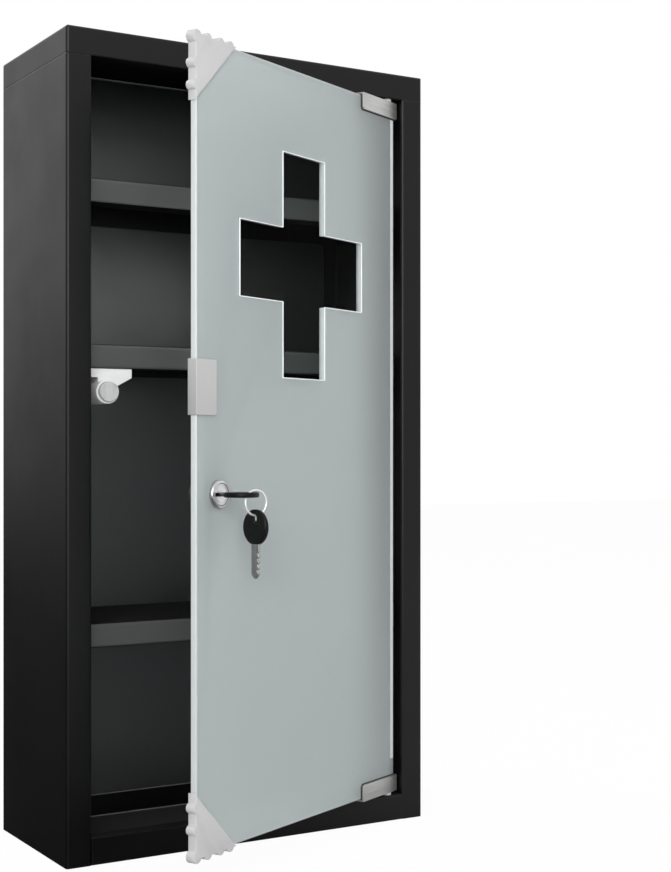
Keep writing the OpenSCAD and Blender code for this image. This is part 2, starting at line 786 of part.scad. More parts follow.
// Plastic pocket pushed over a free corner of the glass
module corner_guard() {
    guard_v = glass_v + guard_t;
    difference() {
        slab_v(-guard_v, guard_v) translate([free_u, glass_z0]) mirror([1, 0]) guard_2d();
        translate([free_u - glass_w, -glass_v, glass_z0]) cube([glass_w, glass_t, glass_z1]);
    }
}

module corner_guard_top() {
    color("#e2e2e2") on_door() to_top() corner_guard();
}

module corner_guard_bottom() {
    color("#e2e2e2") on_door() corner_guard();
}

// U-shaped sheet over the free edge, less a margin m; r rounds its two corners on the face of the glass
module clip_u_2d(reach, h, r) {
    translate([free_u - reach, catch_z - h / 2]) difference() {
        square([reach + clip_t + clip_pad_t, h]);
        edge_2d(r);
        translate([0, h]) mirror([0, 1]) edge_2d(r);
    }
}

module strike_clip() {
    in_v = glass_v + clip_pad_t;
    color("#cfd0d0") on_door() difference() {
        slab_v(-clip_v, clip_v) clip_u_2d(clip_reach, clip_h, 2.5);
        translate([free_u - clip_reach - eps, -in_v, catch_z - clip_h])
            cube([clip_reach + eps + clip_pad_t, 2 * in_v, 2 * clip_h]);
    }
}

module strike_pad() {
    in_v = glass_v + clip_pad_t;
    pad_h = clip_h - 2;
    pad_reach = clip_reach - 1;
    color("#d8d8d8") on_door() difference() {
        translate([free_u - pad_reach, -in_v, catch_z - pad_h / 2])
            cube([pad_reach + clip_pad_t, 2 * in_v, pad_h]);
        translate([free_u - pad_reach - eps, -glass_v, catch_z - clip_h])
            cube([pad_reach + eps, glass_t, 2 * clip_h]);
    }
}

// Domed bezel and threaded barrel in one turned piece, bored for the plug
module lock_housing() {
    seat_v = glass_v + gasket_t;
    rim_v = seat_v + 0.6;
    bore_r = plug_d / 2 + run_gap;
    lip_r = plug_face_d / 2 + face_groove;
    color("#d2d2d0") on_door() on_lock() rotate_extrude() polygon([
        [bore_r, barrel_v],
        [barrel_d / 2 - 0.5, barrel_v],
        [barrel_d / 2, barrel_v + 0.5],
        [barrel_d / 2, seat_v],
        [bezel_d / 2, seat_v],
        for (a = [0:15:90]) [lip_r + (bezel_d / 2 - lip_r) * cos(a), rim_v + (bezel_v - rim_v) * sin(a)],
        [plug_face_d / 2 + run_gap, bezel_v - face_groove],
        [plug_face_d / 2 + run_gap, plug_recess_v],
        [bore_r, plug_recess_v]
    ]);
}

module lock_gasket() {
    color("#202020") on_door() on_lock() translate([0, 0, glass_v]) difference() {
        cylinder(d = bezel_d - 0.6, h = gasket_t);
        translate([0, 0, -eps]) cylinder(d = barrel_d + 2 * fit_gap, h = gasket_t + 2 * eps);
    }
}

module lock_washer() {
    color("#bfc2c4") on_door() on_lock() translate([0, 0, -glass_v - washer_t]) difference() {
        cylinder(d = nut_d + 1.5, h = washer_t);
        translate([0, 0, -eps]) cylinder(d = barrel_d + 2 * fit_gap, h = washer_t + 2 * eps);
    }
}

// Round nut with flats for a spanner
module lock_nut() {
    nut_v = -glass_v - washer_t - nut_t;
    flat_x = nut_d * 0.46;
    color("#c8cacb") on_door() on_lock() translate([0, 0, nut_v]) difference() {
        intersection() {
            cylinder(d = nut_d, h = nut_t);
            translate([-flat_x, -nut_d, 0]) cube([2 * flat_x, 2 * nut_d, nut_t]);
        }
        translate([0, 0, -eps]) cylinder(d = barrel_d + 2 * fit_gap, h = nut_t + 2 * eps);
    }
}

// Middle of each wafer along the lock axis
function wafer_v(i) = plug_recess_v - 3.2 - i * wafer_pitch;

// Plug with its face, its key slot, the slots of the wafers and a square tail for the cam
module lock_plug() {
    face_ring_r = plug_face_d / 2 - 1.3;
    face_ring_w = 0.5;
    face_ring_depth = 0.25;
    color("#d9d9d6") on_door() on_lock() difference() {
        union() {
            translate([0, 0, plug_end_v]) cylinder(d = plug_d, h = plug_recess_v + run_gap - plug_end_v);
            translate([0, 0, plug_recess_v + run_gap]) {
                cylinder(d = plug_face_d, h = plug_flange_t - face_groove);
                translate([0, 0, plug_flange_t - face_groove])
                    cylinder(d1 = plug_face_d, d2 = plug_face_d - 2 * face_groove, h = face_groove);
            }
            translate([-tail_w / 2, -tail_w / 2, tail_end_v]) cube([tail_w, tail_w, plug_end_v - tail_end_v]);
        }
        translate([-blade_w / 2 - run_gap, -blade_t / 2 - run_gap, key_tip_v - face_gap])
            cube([blade_w + 2 * run_gap, blade_t + 2 * run_gap, blade_l + eps]);
        for (i = [0:wafer_count - 1])
            translate([-wafer_l / 2 - run_gap, -wafer_h / 2 - run_gap, wafer_v(i) - wafer_t / 2 - run_gap])
                cube([wafer_l + 2 * run_gap, wafer_h + 2 * run_gap, wafer_t + 2 * run_gap]);
        translate([0, 0, tail_end_v - eps]) cylinder(d = 2.5, h = 1.5 + eps);
        translate([0, 0, plug_recess_v + run_gap + plug_flange_t - face_ring_depth]) difference() {
            cylinder(r = face_ring_r, h = eps);
            translate([0, 0, -eps]) cylinder(r = face_ring_r - face_ring_w, h = 3 * eps);
        }
    }
}

// Thin brass plates with a window that the key blade runs through
module lock_wafers() {
    color("#b99a52") on_door() on_lock() for (i = [0:wafer_count - 1])
        translate([0, 0, wafer_v(i)]) difference() {
            cube([wafer_l, wafer_h, wafer_t], center = true);
            cube([blade_w + 4 * run_gap, blade_t + 4 * run_gap, 2 * wafer_t], center = true);
        }
}

// Cranked lever: side profile in distance from the axis and depth, cut to its plan outline
module lock_cam() {
    crank_0 = nut_d / 2 + 1;
    crank_1 = crank_0 + 4;
    color("#1f1f1f") on_door() translate([lock_u, 0, lock_z]) rotate([0, 90, 0]) difference() {
        intersection() {
            translate([0, 0, -cam_w]) linear_extrude(2 * cam_w) polygon([
                [-cam_w, cam_v],
                [crank_0 + 0.6, cam_v],
                [crank_1 + 0.6, cam_end_v - cam_t],
                [cam_l, cam_end_v - cam_t],
                [cam_l, cam_end_v],
                [crank_1 - 0.6, cam_end_v],
                [crank_0 - 0.6, cam_v + cam_t],
                [-cam_w, cam_v + cam_t]
            ]);
            rotate([-90, 0, 0]) translate([0, 0, cam_v - eps]) linear_extrude(cam_end_v - cam_v + 2 * eps) {
                circle(d = cam_w + 4);
                translate([0, -cam_w / 2]) square([cam_l - cam_w / 2, cam_w]);
                translate([cam_l - cam_w / 2, 0]) circle(d = cam_w);
            }
        }
        translate([-tail_w / 2 - fit_gap, cam_v - eps, -tail_w / 2 - fit_gap])
            cube([tail_w + 2 * fit_gap, cam_t + 2 * eps, tail_w + 2 * fit_gap]);
    }
}

module cam_screw() {
    head_h = 2;
    color("#c6c8ca") on_door() on_lock() translate([0, 0, tail_end_v]) difference() {
        union() {
            translate([0, 0, -head_h]) cylinder(d = 9, h = head_h);
            cylinder(d = 2.5 - 2 * fit_gap, h = 1.4);
        }
        for (a = [0, 90]) rotate([0, 0, a]) translate([-2.2, -0.45, -head_h - eps]) cube([4.4, 0.9, 1 + eps]);
    }
}

// Outline of the key head, its shoulder at the origin and its tip towards +y
module head_2d() {
    translate([0, head_l - head_r]) intersection() {
        circle(r = head_r);
        translate([-head_r, head_r - head_l]) square([2 * head_r, head_l]);
    }
}

// Outline of the key blade, its shoulder at the origin and its tip towards -y; tang in the head
module blade_2d() {
    tip_l = 3;
    notch = 0.9;
    notch_n = 4;
    pitch = (blade_l - tip_l - 5) / notch_n;
    difference() {
        polygon([
            [-blade_w / 2, tang_l],
            [-blade_w / 2, -blade_l + tip_l],
            [-blade_w / 8, -blade_l],
            [blade_w / 8, -blade_l],
            [blade_w / 2, -blade_l + tip_l],
            [blade_w / 2, tang_l]
        ]);
        for (i = [0:notch_n - 1]) {
            depth = notch * (1 + (i % 2) * 0.6);
            translate([blade_w / 2, -4.5 - (i + 0.5) * pitch]) polygon([
                [eps, pitch * 0.42],
                [-depth, pitch * 0.14],
                [-depth, -pitch * 0.14],
                [eps, -pitch * 0.42]
            ]);
        }
    }
}

// Blade of a key that lies in the plane of x and y
module blade_flat() {
    groove_w = 1.2;
    difference() {
        translate([0, 0, -blade_t / 2]) linear_extrude(blade_t) blade_2d();
        for (s = [-1, 1]) translate([-groove_w, -blade_l - eps, s * blade_t / 2 - 0.3])
            cube([groove_w, blade_l - 1, 0.6]);
    }
}

// Moulded head round the tang, with the hole for the ring and a bevel on both faces
module head_flat() {
    bevel = 0.7;
    difference() {
        union() {
            translate([0, 0, -head_t / 2 + bevel]) linear_extrude(head_t - 2 * bevel) head_2d();
            intersection() {
                translate([0, head_l - head_r, 0]) for (s = [0, 1]) mirror([0, 0, s])
                    translate([0, 0, head_t / 2 - bevel])
                        cylinder(r1 = head_r, r2 = head_r - bevel, h = bevel);
                translate([-head_r, 0, -head_t]) cube([2 * head_r, head_l, 2 * head_t]);
            }
        }
        translate([0, head_l - head_hole_in, -head_t]) cylinder(d = head_hole_d, h = 2 * head_t);
        translate([-blade_w / 2 - fit_gap, -eps, -blade_t / 2 - fit_gap])
            cube([blade_w + 2 * fit_gap, tang_l + eps + fit_gap, blade_t + 2 * fit_gap]);
    }
}

// Key in the lock: flat lies level, head outwards
module key_at_lock() {
    on_door() translate([lock_u, key_shoulder_v, lock_z]) children();
}

module key_blade() {
    color("#b9bab8") key_at_lock() blade_flat();
}

module key_head() {
    color("#151515") key_at_lock() head_flat();
}

// Frame of the ring: x runs along the plane of the ring, z up, its middle at the origin
module at_ring() {
    on_door() translate([ring_u, ring_v, ring_z]) rotate([0, 0, 180 - ring_turn]) children();
}

module key_ring() {
    color("#dcdcdc") at_ring() rotate([90, 0, 0]) rotate_extrude() translate([ring_r, 0])
        circle(d = ring_wire_d);
}

// The spare key hangs across the ring, its head upwards
module at_spare() {
    at_ring() translate([0, 0, spare_tip_z - head_l - ring_z]) rotate([90, 0, spare_yaw - 90]) children();
}

module spare_key_blade() {
    color("#b9bab8") at_spare() blade_flat();
}

module spare_key_head() {
    color("#151515") at_spare() head_flat();
}

side_panel_left();
side_panel_right();
top_cap();
bottom_pan();
back_panel();
shelf_top();
shelf_middle();
shelf_bottom();
hinge_bush_top();
hinge_bush_bottom();
catch_housing();
catch_screws();
catch_plunger();
catch_magnet();
catch_spring();
door_glass();
cross_window();
hinge_clamp_top();
hinge_clamp_bottom();
clamp_liner_top();
clamp_liner_bottom();
clamp_screws_top();
clamp_screws_bottom();
hinge_pin_top();
hinge_pin_bottom();
corner_guard_top();
corner_guard_bottom();
strike_clip();
strike_pad();
lock_housing();
lock_gasket();
lock_washer();
lock_nut();
lock_plug();
lock_wafers();
lock_cam();
cam_screw();
key_blade();
key_head();
key_ring();
spare_key_blade();
spare_key_head();
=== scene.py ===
import json
import math
import bpy
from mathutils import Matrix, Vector

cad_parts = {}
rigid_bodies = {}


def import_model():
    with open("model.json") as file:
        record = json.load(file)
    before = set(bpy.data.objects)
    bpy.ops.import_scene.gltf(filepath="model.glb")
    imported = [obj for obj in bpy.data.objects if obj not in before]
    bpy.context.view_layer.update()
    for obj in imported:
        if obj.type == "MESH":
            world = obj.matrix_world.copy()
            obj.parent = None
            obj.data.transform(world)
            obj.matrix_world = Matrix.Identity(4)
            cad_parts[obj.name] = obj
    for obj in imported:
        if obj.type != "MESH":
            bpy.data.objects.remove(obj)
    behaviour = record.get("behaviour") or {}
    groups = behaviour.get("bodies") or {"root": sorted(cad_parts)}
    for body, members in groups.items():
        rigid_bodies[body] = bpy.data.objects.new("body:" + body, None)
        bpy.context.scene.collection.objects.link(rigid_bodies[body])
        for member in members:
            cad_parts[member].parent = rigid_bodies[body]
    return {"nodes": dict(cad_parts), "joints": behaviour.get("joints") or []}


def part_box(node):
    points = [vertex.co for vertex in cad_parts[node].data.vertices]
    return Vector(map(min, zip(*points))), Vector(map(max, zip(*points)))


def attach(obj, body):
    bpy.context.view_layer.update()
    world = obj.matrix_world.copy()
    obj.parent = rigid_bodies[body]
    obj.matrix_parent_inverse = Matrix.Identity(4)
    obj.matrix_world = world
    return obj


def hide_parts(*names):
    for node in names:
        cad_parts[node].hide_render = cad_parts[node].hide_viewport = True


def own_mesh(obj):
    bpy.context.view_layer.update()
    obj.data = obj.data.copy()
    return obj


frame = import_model()
nodes = frame["nodes"]
joints = {j["name"]: j for j in frame["joints"]}
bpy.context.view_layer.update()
mm = 0.001
print("frame loaded:", len(nodes), "nodes")

# the door's own directions, worked out from its hinge and the lock axis
pivot = Vector(joints["door_swing"]["pos_m"])
lockAt = Vector(joints["lock_turn"]["pos_m"])
outward = Vector(joints["lock_turn"]["axis"]).normalized()
doorTurn = math.atan2(outward.x, -outward.y)  # how far the door stands open
along = Vector((-math.cos(doorTurn), -math.sin(doorTurn), 0))  # from the hinge to the free edge


# distance of a node's outermost point from the middle of the pane
def reachOutward(name):
    return max((v.co - pivot).dot(outward) for v in nodes[name].data.vertices)


def grey(level):
    return (level, level, level)


# shader helpers
def addNode(tree, kind, x=0, y=0, **settings):
    node = tree.nodes.new(kind)
    node.location = (x, y)
    for key, value in settings.items():
        if key == "inputs":
            for name, number in value.items():
                node.inputs[name].default_value = number
        else:
            setattr(node, key, value)
    return node


def wire(tree, source, target):
    tree.links.new(source, target)


def addMath(tree, operation, first, second=None, x=0, y=0, clamp=False):
    node = addNode(tree, "ShaderNodeMath", x, y, operation=operation, use_clamp=clamp)
    for slot, value in enumerate((first, second)):
        if value is None:
            continue
        if isinstance(value, (int, float)):
            node.inputs[slot].default_value = value
        else:
            wire(tree, value, node.inputs[slot])
    return node.outputs[0]


def mixColor(tree, factor, first, second, x=0, y=0):
    node = addNode(tree, "ShaderNodeMix", x, y, data_type="RGBA")
    for socket, value in ((node.inputs[0], factor), (node.inputs[6], first), (node.inputs[7], second)):
        if isinstance(value, (int, float)):
            socket.default_value = value
        elif isinstance(value, (tuple, list)):
            socket.default_value = tuple(value) + (1,) * (4 - len(value))
        else:
            wire(tree, value, socket)
    return node.outputs[2]


def startGroup(name, inputs, outputs):
    group = bpy.data.node_groups.new(name, "ShaderNodeTree")
    for label, kind, value in inputs:
        socket = group.interface.new_socket(label, in_out="INPUT", socket_type=kind)
        if value is not None:
            socket.default_value = value
    for label, kind in outputs:
        group.interface.new_socket(label, in_out="OUTPUT", socket_type=kind)
    entry = addNode(group, "NodeGroupInput", -900, 0)
    leave = addNode(group, "NodeGroupOutput", 700, 0)
    return group, entry.outputs, leave.inputs


# edges rubbed in patches, from the angle between the face and a normal that a bevel softens;
# where a material gives it a near-white colour, the same mask carries painted glints
def buildEdgeWearAndGlint():
    group, given, made = startGroup(
        "edge wear",
        [("Vector", "NodeSocketVector", None), ("Width", "NodeSocketFloat", 0.001),
         ("Amount", "NodeSocketFloat", 1.0), ("Breakup", "NodeSocketFloat", 60.0)],
        [("Mask", "NodeSocketFloat"), ("Soft Normal", "NodeSocketVector")])
    bevel = addNode(group, "ShaderNodeBevel", -600, 150, samples=6)
    wire(group, given["Width"], bevel.inputs["Radius"])
    flat = addNode(group, "ShaderNodeNewGeometry", -600, -50)
    dot = addNode(group, "ShaderNodeVectorMath", -400, 100, operation="DOT_PRODUCT")
    wire(group, bevel.outputs[0], dot.inputs[0])
    wire(group, flat.outputs["Normal"], dot.inputs[1])
    edge = addMath(group, "SUBTRACT", 1.0, dot.outputs["Value"], -200, 100)
    strong = addMath(group, "MULTIPLY", edge, 9.0, -50, 100, True)
    noise = addNode(group, "ShaderNodeTexNoise", -400, -200, inputs={"Detail": 5.0, "Roughness": 0.65})
    wire(group, given["Vector"], noise.inputs["Vector"])
    wire(group, given["Breakup"], noise.inputs["Scale"])
    patch = addNode(group, "ShaderNodeMapRange", -200, -200,
                    inputs={"From Min": 0.42, "From Max": 0.68, "To Min": 0.15, "To Max": 1.0})
    wire(group, noise.outputs["Fac"], patch.inputs["Value"])
    worn = addMath(group, "MULTIPLY", strong, patch.outputs[0], 150, 0)
    wire(group, addMath(group, "MULTIPLY", worn, given["Amount"], 350, 0, True), made["Mask"])
    wire(group, bevel.outputs[0], made["Soft Normal"])
    return group


# fine grain for the bump and wide patches for the colour
def buildGrain():
    group, given, made = startGroup(
        "fine grain",
        [("Vector", "NodeSocketVector", None), ("Size", "NodeSocketFloat", 0.0006),
         ("Patch Size", "NodeSocketFloat", 0.05)],
        [("Height", "NodeSocketFloat"), ("Patches", "NodeSocketFloat")])
    fineScale = addMath(group, "DIVIDE", 1.0, given["Size"], -650, 100)
    patchScale = addMath(group, "DIVIDE", 1.0, given["Patch Size"], -650, -150)
    fine = addNode(group, "ShaderNodeTexNoise", -350, 100, inputs={"Detail": 2.0, "Roughness": 0.55})
    wide = addNode(group, "ShaderNodeTexNoise", -350, -150, inputs={"Detail": 4.0, "Roughness": 0.6})
    for noise, scale in ((fine, fineScale), (wide, patchScale)):
        wire(group, given["Vector"], noise.inputs["Vector"])
        wire(group, scale, noise.inputs["Scale"])
    wire(group, fine.outputs["Fac"], made["Height"])
    wire(group, wide.outputs["Fac"], made["Patches"])
    return group


# lines along x, drawn out of noise that is stretched that way
def buildBrushed():
    group, given, made = startGroup(
        "brushed lines",
        [("Vector", "NodeSocketVector", None), ("Line Pitch", "NodeSocketFloat", 0.0003),
         ("Line Length", "NodeSocketFloat", 0.02)],
        [("Lines", "NodeSocketFloat")])
    split = addNode(group, "ShaderNodeSeparateXYZ", -700, 0)
    wire(group, given["Vector"], split.inputs[0])
    longWay = addMath(group, "DIVIDE", split.outputs["X"], given["Line Length"], -500, 150)
    across = addMath(group, "DIVIDE", split.outputs["Y"], given["Line Pitch"], -500, 0)
    upWay = addMath(group, "DIVIDE", split.outputs["Z"], given["Line Pitch"], -500, -150)
    joined = addNode(group, "ShaderNodeCombineXYZ", -300, 0)
    for value, name in ((longWay, "X"), (across, "Y"), (upWay, "Z")):
        wire(group, value, joined.inputs[name])
    lines = addNode(group, "ShaderNodeTexNoise", -100, 120,
                    inputs={"Scale": 1.0, "Detail": 3.0, "Roughness": 0.7})
    wire(group, joined.outputs[0], lines.inputs["Vector"])
    wire(group, lines.outputs["Fac"], made["Lines"])
    return group


# painted highlight for the light that a fold catches: a narrow line where one coordinate lies near the
# given place
def buildFoldHighlight():
    group, given, made = startGroup(
        "fold line",
        [("Value", "NodeSocketFloat", 0.0), ("Middle", "NodeSocketFloat", 0.0),
         ("Half Width", "NodeSocketFloat", 0.0006)],
        [("Mask", "NodeSocketFloat")])
    off = addMath(group, "SUBTRACT", given["Value"], given["Middle"], -600, 0)
    apart = addMath(group, "ABSOLUTE", off, None, -400, 0)
    share = addMath(group, "DIVIDE", apart, given["Half Width"], -200, 0)
    wire(group, addMath(group, "SUBTRACT", 1.0, share, 0, 0, True), made["Mask"])
    return group


edgeWearAndGlint = buildEdgeWearAndGlint()
fineGrain = buildGrain()
brushedLines = buildBrushed()
foldHighlight = buildFoldHighlight()
print("node groups made")


def useGroup(tree, group, vector, x, y, **values):
    node = addNode(tree, "ShaderNodeGroup", x, y, node_tree=group)
    wire(tree, vector, node.inputs["Vector"])
    for name, value in values.items():
        node.inputs[name.replace("_", " ")].default_value = value
    return node.outputs


def startMaterial(name, **settings):
    material = bpy.data.materials.new(name)
    material.use_nodes = True
    tree = material.node_tree
    tree.nodes.clear()
    shader = addNode(tree, "ShaderNodeBsdfPrincipled", 300, 0)
    output = addNode(tree, "ShaderNodeOutputMaterial", 620, 0)
    wire(tree, shader.outputs[0], output.inputs["Surface"])
    for key, value in settings.items():
        shader.inputs[key.replace("_", " ")].default_value = value
    coords = addNode(tree, "ShaderNodeTexCoord", -1200, 0)
    return material, tree, shader, coords.outputs["Object"]


def addBump(tree, shader, height, strength, distance, normal=None):
    bump = addNode(tree, "ShaderNodeBump", 80, -350, inputs={"Strength": strength, "Distance": distance})
    wire(tree, height, bump.inputs["Height"])
    if normal is not None:
        wire(tree, normal, bump.inputs["Normal"])
    wire(tree, bump.outputs[0], shader.inputs["Normal"])


# roughness that follows a pattern; its socket is returned for a material that changes it further
def setRoughness(tree, shader, value, low, high):
    spread = addNode(tree, "ShaderNodeMapRange", 80, -150,
                     inputs={"From Min": 0.3, "From Max": 0.7, "To Min": low, "To Max": high})
    wire(tree, value, spread.inputs["Value"])
    wire(tree, spread.outputs[0], shader.inputs["Roughness"])
    return spread.outputs[0]


# how the coat goes onto every sheet, whatever its colour
coatValues = {"patch": 90 * mm, "edge": 1.2 * mm, "levelFrom": 0.8, "peel": 0.22, "peelDepth": 0.12 * mm}


# black powder coat: fine orange peel, faint patches, slightly rubbed folds and painted highlights along
# given fold lines; level faces have their own colour and are matt. levelSides is ABSOLUTE for both sides of
# a sheet and MULTIPLY for its underside only
def powderCoat(name, values):
    material, tree, shader, place = startMaterial(
        name, Specular_IOR_Level=values["shine"], IOR=values.get("ior", 1.5))
    grain = useGroup(tree, fineGrain, place, -800, 100, Size=values["grainSize"],
                     Patch_Size=coatValues["patch"])
    wear = useGroup(tree, edgeWearAndGlint, place, -800, -250, Width=coatValues["edge"], Amount=values["wear"],
                    Breakup=45.0)
    base = mixColor(tree, grain["Patches"], values["dark"], values["light"], -450, 100)
    turned = addNode(tree, "ShaderNodeSeparateXYZ", -800, 400)
    wire(tree, addNode(tree, "ShaderNodeNewGeometry", -1000, 400).outputs["Normal"], turned.inputs[0])
    tilt = addMath(tree, values["levelSides"], turned.outputs["Z"], -1.0, -600, 400)
    split = addNode(tree, "ShaderNodeSeparateXYZ", -600, 600)
    wire(tree, place, split.inputs[0])
    flat = addMath(tree, "GREATER_THAN", tilt, coatValues["levelFrom"], -450, 400)
    base = mixColor(tree, flat, base, values["level"], -300, 300)
    rubbedAndGlint = mixColor(tree, wear["Mask"], base, values["rubbedAndGlint"], -200, 100)
    inside = addMath(tree, "GREATER_THAN", split.outputs["Y"], values.get("foldHighlightsBehind", -1.0), -400, 800)
    for axis, middle, half in values.get("foldHighlightLines", ()):
        line = addNode(tree, "ShaderNodeGroup", -400, 600, node_tree=foldHighlight,
                       inputs={"Middle": middle, "Half Width": half})
        wire(tree, split.outputs[axis], line.inputs["Value"])
        shown = addMath(tree, "MULTIPLY", line.outputs["Mask"], inside, -250, 600)
        rubbedAndGlint = mixColor(tree, shown, rubbedAndGlint, values["foldHighlightColor"], -100, 300)
    wire(tree, rubbedAndGlint, shader.inputs["Base Color"])
    spread = setRoughness(tree, shader, grain["Patches"], values["rough"] - 0.05, values["rough"] + 0.07)
    matt = addMath(tree, "MULTIPLY", flat, values["levelRough"], -200, -250)
    wire(tree, addMath(tree, "MAXIMUM", spread, matt, 180, -200), shader.inputs["Roughness"])
    addBump(tree, shader, grain["Height"], coatValues["peel"], coatValues["peelDepth"], wear["Soft Normal"])
    return material


# moulded plastic, rubber and foam; depth lets light into it, and glow is light that it gives off
def plastic(name, values):
    material, tree, shader, place = startMaterial(name, Specular_IOR_Level=values.get("shine", 0.5))
    if "depth" in values:
        shader.inputs["Subsurface Weight"].default_value = values["depth"]
        shader.inputs["Subsurface Radius"].default_value = (4 * mm, 4 * mm, 4 * mm)
        shader.inputs["Subsurface Scale"].default_value = 0.6
    if "glow" in values:
        shader.inputs["Emission Color"].default_value = (*values["glowColor"], 1)
        shader.inputs["Emission Strength"].default_value = values["glow"]
    grain = useGroup(tree, fineGrain, place, -800, 100, Size=values["grainSize"], Patch_Size=0.015)
    wear = useGroup(tree, edgeWearAndGlint, place, -800, -250, Width=values.get("round", 0.0005),
                    Amount=values.get("wear", 0.3), Breakup=180.0)
    base = mixColor(tree, grain["Patches"], values["dark"], values["light"], -450, 100)
    wire(tree, mixColor(tree, wear["Mask"], base, values["rubbedAndGlint"], -200, 100), shader.inputs["Base Color"])
    setRoughness(tree, shader, grain["Patches"], values["rough"] - 0.04, values["rough"] + 0.06)
    addBump(tree, shader, grain["Height"], values.get("bump", 0.15), 0.0001, wear["Soft Normal"])
    return material


# bare or plated metal; lineTurn points the brushing, and metal without it is satin
def metal(name, values):
    material, tree, shader, place = startMaterial(name, Metallic=values.get("metallic", 1.0))
    wear = useGroup(tree, edgeWearAndGlint, place, -800, -300, Width=values.get("round", 0.0004),
                    Amount=values.get("wear", 0.5), Breakup=240.0)
    grain = useGroup(tree, fineGrain, place, -800, 250, Size=0.0004, Patch_Size=0.012)
    pattern = grain["Height"]
    if "lineTurn" in values:
        turned = addNode(tree, "ShaderNodeMapping", -1000, -50, vector_type="TEXTURE",
                         inputs={"Rotation": values["lineTurn"]})
        wire(tree, place, turned.inputs["Vector"])
        brushed = useGroup(tree, brushedLines, turned.outputs[0], -800, -50,
                           Line_Pitch=values.get("pitch", 0.00025), Line_Length=values.get("length", 0.02))
        pattern = brushed["Lines"]
    base = mixColor(tree, pattern, values["dark"], values["light"], -450, 100)
    wire(tree, mixColor(tree, wear["Mask"], base, values["rubbedAndGlint"], -200, 100), shader.inputs["Base Color"])
    setRoughness(tree, shader, pattern, values["rough"] - 0.08, values["rough"] + 0.1)
    addBump(tree, shader, pattern, values.get("bump", 0.15), 0.00005, wear["Soft Normal"])
    return material


sheetValues = {"thick": 1.2 * mm, "rail": 18.9 * mm, "floor": 1.7 * mm}  # folds of the floor, by height
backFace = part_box("back_panel")[0][1]
# shelf faces in front of this get the lip coat with painted light
shelfFront = -50 * mm  # what lies behind this on a shelf is in its shade

bodySteel = powderCoat("black powder coat", {
    "dark": grey(0.0012), "light": grey(0.0024), "rubbedAndGlint": grey(0.05),
    "level": grey(0.002), "levelSides": "MULTIPLY", "levelRough": 0.9,
    "rough": 0.33, "shine": 0.28, "wear": 0.35, "grainSize": 0.0007})
# the floor coat paints highlights along the rail's top fold and the floor's rear fold, inside the cabinet
# only
panSteel = powderCoat("black floor coat", {
    "dark": grey(0.0012), "light": grey(0.0024), "rubbedAndGlint": grey(0.05),
    "level": grey(0.002), "levelSides": "ABSOLUTE", "levelRough": 0.9,
    "foldHighlightColor": grey(0.26), "foldHighlightsBehind": -50 * mm,
    "foldHighlightLines": [("Z", sheetValues["rail"], 0.5 * mm), ("Z", sheetValues["floor"], 0.6 * mm)],
    "rough": 0.33, "shine": 0.28, "wear": 0.35, "grainSize": 0.0007})
# a lighter, shinier copy of the black coat for the shelves' front lips: painted light
paintedLitShelfSteel = powderCoat("black shelf coat", {
    "dark": grey(0.042), "light": grey(0.050), "rubbedAndGlint": grey(0.14),
    "level": grey(0.003), "levelSides": "ABSOLUTE", "levelRough": 0.9,
    "rough": 0.36, "shine": 1.0, "wear": 0.35, "grainSize": 0.0007})
# the back coat paints a highlight on faces within a sheet's thickness of the back panel's front, where its
# folds are
backSteel = powderCoat("black back coat", {
    "dark": grey(0.001), "light": grey(0.002), "rubbedAndGlint": grey(0.20),
    "level": grey(0.003), "levelSides": "MULTIPLY", "levelRough": 0.9,
    "foldHighlightColor": grey(0.40),
    "foldHighlightLines": [("Y", backFace + 0.5 * sheetValues["thick"], 0.45 * sheetValues["thick"])],
    "rough": 0.38, "shine": 1.0, "ior": 1.6, "wear": 0.2, "grainSize": 0.0007})
whitePlastic = plastic("white moulded plastic", {
    "dark": grey(0.82), "light": grey(0.88), "rubbedAndGlint": grey(0.92),
    "rough": 0.32, "grainSize": 0.0009, "depth": 0.15})
guardPlastic = plastic("guard plastic", {
    "dark": grey(0.54), "light": grey(0.60), "rubbedAndGlint": grey(0.68),
    "rough": 0.38, "grainSize": 0.0012, "depth": 0.2})
nylon = plastic("bush nylon", {
    "dark": (0.60, 0.60, 0.58), "light": (0.68, 0.68, 0.66), "rubbedAndGlint": (0.72, 0.72, 0.70),
    "rough": 0.45, "grainSize": 0.001, "depth": 0.2})
keyPlastic = plastic("black key plastic", {
    "dark": grey(0.005), "light": grey(0.008), "rubbedAndGlint": grey(0.03),
    "shine": 0.12, "rough": 0.3, "grainSize": 0.0006, "wear": 0.6, "bump": 0.3})
plungerPlastic = plastic("grey-white plunger", {
    "dark": grey(0.50), "light": grey(0.58), "rubbedAndGlint": grey(0.80),
    "rough": 0.34, "grainSize": 0.0009, "wear": 0.8})
liner = plastic("soft black liner", {
    "dark": grey(0.012), "light": grey(0.02), "rubbedAndGlint": grey(0.05),
    "rough": 0.7, "grainSize": 0.0005, "wear": 0.2})
padFoam = plastic("adhesive pad", {
    "dark": grey(0.60), "light": grey(0.68), "rubbedAndGlint": grey(0.7),
    "rough": 0.8, "grainSize": 0.0004, "wear": 0.1})
alongDoor = (0, 0, doorTurn)
upright = (0, math.radians(90), 0)
stainless = metal("brushed stainless", {
    "dark": (0.22, 0.22, 0.218), "light": (0.62, 0.62, 0.61), "rubbedAndGlint": (0.66, 0.66, 0.65),
    "rough": 0.42, "metallic": 0.75, "lineTurn": alongDoor, "pitch": 0.0007, "length": 0.03, "bump": 0.3})
strikeSteel = metal("satin strike plate", {
    "dark": grey(0.46), "light": grey(0.52), "rubbedAndGlint": grey(0.70),
    "rough": 0.5, "metallic": 0.35, "lineTurn": upright, "pitch": 0.0003, "length": 0.02, "bump": 0.12})
